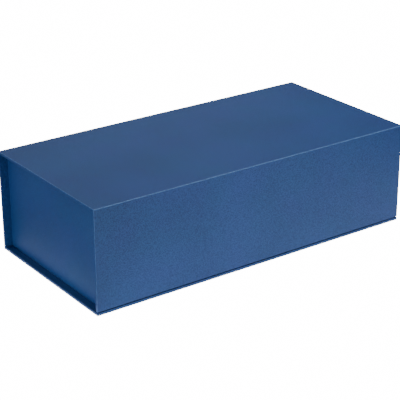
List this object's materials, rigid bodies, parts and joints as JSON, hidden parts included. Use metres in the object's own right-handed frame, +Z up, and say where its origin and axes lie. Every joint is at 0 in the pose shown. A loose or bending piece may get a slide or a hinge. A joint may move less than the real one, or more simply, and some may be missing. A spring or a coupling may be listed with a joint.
{
  "type": "presentation box",
  "caption": "Rigid presentation box: a hinged paper-covered case with a magnetic front flap round a glued tray.",
  "frame": {"origin": "middle of the base's footprint, on the surface it stands on", "axes": "+X along the box to its right-hand end, -Y out of the front flap, +Z up"},
  "size_m": [0.35, 0.17, 0.1],
  "materials": {
    "cover_paper": "satin pearl-toned paper with a fine grain",
    "liner_paper": "satin paper with a fine grain",
    "greyboard": "matt recycled greyboard",
    "stay_tape": "matt kraft tape",
    "magnet_plating": "nickel plated",
    "keeper_steel": "satin steel"
  },
  "bodies": {
    "box": {"base_board": "greyboard", "base_spine_fold": "cover_paper", "base_wrap": "cover_paper", "corner_stay_back_left": "stay_tape", "corner_stay_back_right": "stay_tape", "corner_stay_front_left": "stay_tape", "corner_stay_front_right": "stay_tape", "keeper_left": "keeper_steel", "keeper_right": "keeper_steel", "lid_hinge_fold": "cover_paper", "spine_board": "greyboard", "spine_hinge_liner": "liner_paper", "spine_wrap": "cover_paper", "tray_back_board": "greyboard", "tray_floor_board": "greyboard", "tray_floor_liner": "liner_paper", "tray_front_board": "greyboard", "tray_left_board": "greyboard", "tray_right_board": "greyboard", "tray_wrap_back": "cover_paper", "tray_wrap_front": "cover_paper", "tray_wrap_left": "cover_paper", "tray_wrap_right": "cover_paper"},
    "lid": {"flap_hinge_fold": "cover_paper", "lid_board": "greyboard", "lid_liner": "liner_paper", "lid_wrap": "cover_paper"},
    "flap": {"flap_board": "greyboard", "flap_liner": "liner_paper", "flap_wrap": "cover_paper", "magnet_left": "magnet_plating", "magnet_right": "magnet_plating"}
  },
  "joints": [
    {"name": "lid_hinge", "type": "hinge", "parent": "box", "child": "lid", "pos_m": [0, 0.08458, 0.09958], "axis": [-1, 0, 0], "range_deg": [0, 180], "deforming": ["lid_hinge_fold"]},
    {"name": "flap_hinge", "type": "hinge", "parent": "lid", "child": "flap", "pos_m": [0, -0.08458, 0.09958], "axis": [-1, 0, 0], "range_deg": [0, 180], "deforming": ["flap_hinge_fold"]}
  ]
}
